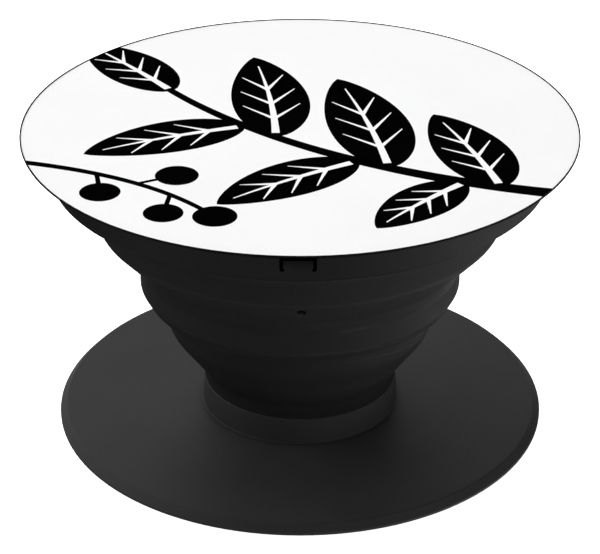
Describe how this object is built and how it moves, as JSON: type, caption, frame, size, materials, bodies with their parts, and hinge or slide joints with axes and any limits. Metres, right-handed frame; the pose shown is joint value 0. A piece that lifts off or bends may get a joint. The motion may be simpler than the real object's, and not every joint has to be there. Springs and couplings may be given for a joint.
{
  "type": "collapsible phone grip",
  "caption": "Round pull-out phone grip and stand: stepped folding bellows on a flat adhesive base, with a swappable printed disc on top.",
  "frame": {"origin": "centre of the adhesive pad's underside, the face that is stuck to a phone", "axes": "+Z along the grip's turning axis, from the base to the printed top; -Y is the front, where one spring tab of the collar faces"},
  "size_m": [0.0398, 0.0398, 0.0235],
  "materials": {
    "adhesive": "soft tacky gel, smooth",
    "base_plastic": "satin moulded black plastic with a fine texture",
    "elastomer": "matte black elastomer with faint mould lines",
    "top_plastic": "satin moulded black plastic",
    "printed_face": "satin printed film, white ground with black shapes"
  },
  "bodies": {
    "base": {"base_plate": "base_plastic", "adhesive_pad": "adhesive"},
    "bellows_body": {"bellows": "elastomer"},
    "collar": {"top_collar": "top_plastic"},
    "top": {"top_button": "top_plastic", "printed_disc": "printed_face"}
  },
  "joints": [
    {"name": "swivel", "type": "hinge", "parent": "base", "child": "bellows_body", "pos_m": [0, 0, 0.0025], "axis": [0, 0, 1], "continuous": true},
    {"name": "collapse", "type": "slide", "parent": "bellows_body", "child": "collar", "axis": [0, 0, -1], "range_m": [0, 0.0162], "deforming": ["bellows"]},
    {"name": "top_twist", "type": "hinge", "parent": "collar", "child": "top", "pos_m": [0, 0, 0.0212], "axis": [0, 0, 1], "range_deg": [0, 90]}
  ]
}
